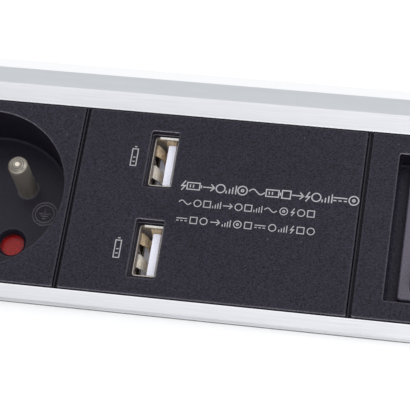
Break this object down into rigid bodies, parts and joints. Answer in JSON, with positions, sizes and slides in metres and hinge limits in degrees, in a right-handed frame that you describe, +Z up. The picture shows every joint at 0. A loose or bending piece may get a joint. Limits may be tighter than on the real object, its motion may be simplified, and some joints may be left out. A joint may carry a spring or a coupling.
{
  "type": "desk power strip",
  "caption": "Wedge-shaped aluminium desk power strip with recessed earthed mains sockets behind turning shutters, a twin USB charger, a sunken rocker switch and a rear mains inlet.",
  "frame": {"origin": "middle of the footprint, on the table the strip stands on", "axes": "+X runs along the strip to the right as seen from its front, the tilted front faces -Y, +Z is up"},
  "size_m": [0.2102, 0.065, 0.0525],
  "materials": {
    "aluminium": "satin brushed",
    "cap": "fine grain",
    "screw": "satin",
    "rubber": "matte",
    "divider": "smooth",
    "module": "fine grain",
    "nickel": "nickel plated",
    "red": "smooth",
    "spring": "drawn wire",
    "brass": "plain",
    "board": "solder mask",
    "white": "smooth",
    "ferrite": "sintered",
    "sleeve": "shrink sleeve",
    "bezel": "smooth"
  },
  "bodies": {
    "strip": {"housing_profile": "aluminium", "end_cap_left": "cap", "end_cap_right": "cap", "end_screw_left_lower": "screw", "end_screw_left_upper": "screw", "end_screw_right_lower": "screw", "end_screw_right_upper": "screw", "foot_strip_front": "rubber", "foot_strip_rear": "rubber", "module_divider_1": "divider", "module_divider_2": "divider", "module_divider_3": "divider", "socket_face_1": "module", "socket_carrier_1": "module", "earth_pin_1": "nickel", "shutter_spring_1": "spring", "contact_live_1": "brass", "contact_neutral_1": "brass", "socket_face_2": "module", "socket_carrier_2": "module", "earth_pin_2": "nickel", "shutter_spring_2": "spring", "contact_live_2": "brass", "contact_neutral_2": "brass", "busbar_live": "brass", "busbar_neutral": "brass", "busbar_earth": "brass", "usb_face": "module", "usb_board": "board", "usb_shell_upper": "nickel", "usb_shell_lower": "nickel", "usb_tongue_upper": "white", "usb_tongue_lower": "white", "usb_transformer": "ferrite", "usb_inductor": "ferrite", "usb_capacitor": "sleeve", "switch_face": "module", "switch_body": "bezel", "switch_pivot": "nickel", "switch_terminal_1": "brass", "switch_terminal_2": "brass", "inlet_body": "module", "inlet_pin_live": "nickel", "inlet_pin_neutral": "nickel", "inlet_pin_earth": "nickel"},
    "rocker": {"switch_rocker": "red"},
    "shutter_1": {"shutter_1": "red"},
    "shutter_2": {"shutter_2": "red"}
  },
  "joints": [
    {"name": "rocker_tilt", "type": "hinge", "parent": "strip", "child": "rocker", "pos_m": [0.079, -0.01115, 0.01988], "axis": [1, 0, 0], "range_deg": [0, 16]},
    {"name": "shutter_1_turn", "type": "hinge", "parent": "strip", "child": "shutter_1", "pos_m": [-0.07873, -0.00428, 0.01608], "axis": [0, -0.8746, 0.4848], "range_deg": [0, 42], "stiffness_Nm_per_rad": 0.002, "springref_deg": -20.05},
    {"name": "shutter_2_turn", "type": "hinge", "parent": "strip", "child": "shutter_2", "pos_m": [-0.03372, -0.00428, 0.01608], "axis": [0, -0.8746, 0.4848], "range_deg": [0, 42], "stiffness_Nm_per_rad": 0.002, "springref_deg": -20.05}
  ]
}
